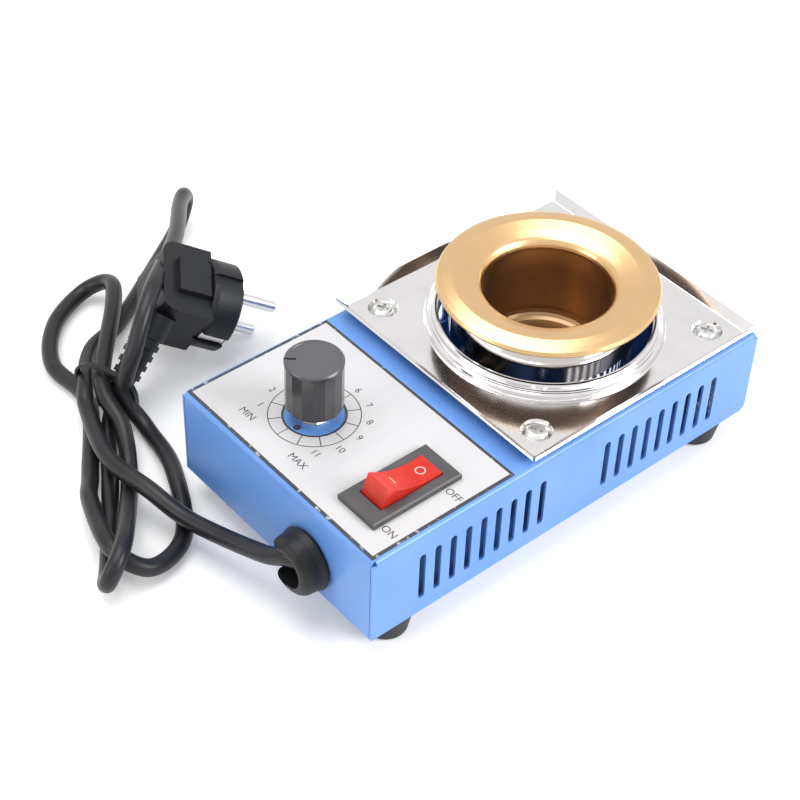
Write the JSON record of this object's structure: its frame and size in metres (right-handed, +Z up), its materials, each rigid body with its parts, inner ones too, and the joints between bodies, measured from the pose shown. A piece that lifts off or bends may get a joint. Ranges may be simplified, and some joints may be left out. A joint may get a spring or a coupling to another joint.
{
  "type": "solder pot",
  "caption": "Bench solder pot: round heated crucible in a splash tray on a vented sheet-metal housing with rubber feet, temperature dial, rocker switch and tied mains cord with plug.",
  "frame": {"origin": "middle of the housing, on the surface that the four feet stand on", "axes": "+X along the housing towards the crucible, -X to the controls and the cord, +Z up"},
  "size_m": [0.2544, 0.2565, 0.0796],
  "materials": {
    "painted_blue": "smooth blue powder coat",
    "face_plate": "satin silver-white face plate",
    "steel_dull": "zinc-plated steel",
    "tray_steel": "polished stainless sheet",
    "can_steel": "mirror-polished stainless tube",
    "crucible_gold": "gold-coloured coating, satin",
    "rubber_black": "black rubber",
    "foot_rubber": "black rubber",
    "knob_plastic": "dark glossy plastic",
    "switch_plastic": "black plastic",
    "plug_plastic": "black moulded plastic",
    "cord_pvc": "black cord sheath",
    "brass": "plain brass",
    "pin_nickel": "nickel-plated brass",
    "board_green": "glass-fibre circuit board",
    "part_plastic": "moulded component case",
    "block_green": "moulded terminal block",
    "wire_insulation": "coloured wire insulation",
    "ceramic_fibre": "pressed ceramic fibre",
    "heater_metal": "heat-tinted steel jacket",
    "sink_alu": "plain extruded aluminium",
    "carbon_body": "moulded control body"
  },
  "bodies": {
    "base": {"housing_shell": "painted_blue", "base_plate": "painted_blue", "corner_brackets": "steel_dull", "foot_1": "foot_rubber", "foot_2": "foot_rubber", "foot_3": "foot_rubber", "foot_4": "foot_rubber", "foot_screws": "steel_dull", "foot_nuts": "steel_dull", "label_plate": "face_plate", "potentiometer": "carbon_body", "dial_washer": "steel_dull", "dial_nut": "steel_dull", "switch_frame": "switch_plastic", "switch_terminals": "brass", "splash_tray": "tray_steel", "tray_screws": "steel_dull", "tray_nuts": "steel_dull", "crucible": "crucible_gold", "band_heater": "heater_metal", "heater_clamp_screw": "steel_dull", "insulation_sleeve": "ceramic_fibre", "insulation_pad": "ceramic_fibre", "heater_can": "can_steel", "can_standoffs": "brass", "can_screws": "steel_dull", "control_board": "board_green", "board_standoffs": "brass", "board_screws": "steel_dull", "heatsink": "sink_alu", "triac": "part_plastic", "film_capacitor": "part_plastic", "terminal_block": "block_green", "earth_stud": "brass", "supply_wires": "wire_insulation", "switch_wires": "wire_insulation", "dial_wires": "wire_insulation", "heater_leads": "wire_insulation", "earth_wire": "wire_insulation", "cord_gland": "rubber_black", "mains_cord": "cord_pvc", "cord_tie": "rubber_black", "plug_body": "plug_plastic", "plug_pins": "pin_nickel"},
    "dial": {"knob": "knob_plastic", "dial_shaft": "brass"},
    "switch_rocker": {"rocker": "switch_plastic"}
  },
  "joints": [
    {"name": "dial_turn", "type": "hinge", "parent": "base", "child": "dial", "pos_m": [-0.067, 0.015, 0.07], "axis": [0, 0, -1], "range_deg": [0, 280]},
    {"name": "rocker_tilt", "type": "hinge", "parent": "base", "child": "switch_rocker", "pos_m": [-0.0665, -0.034, 0.0525], "axis": [0, -1, 0], "range_deg": [0, 30]}
  ]
}
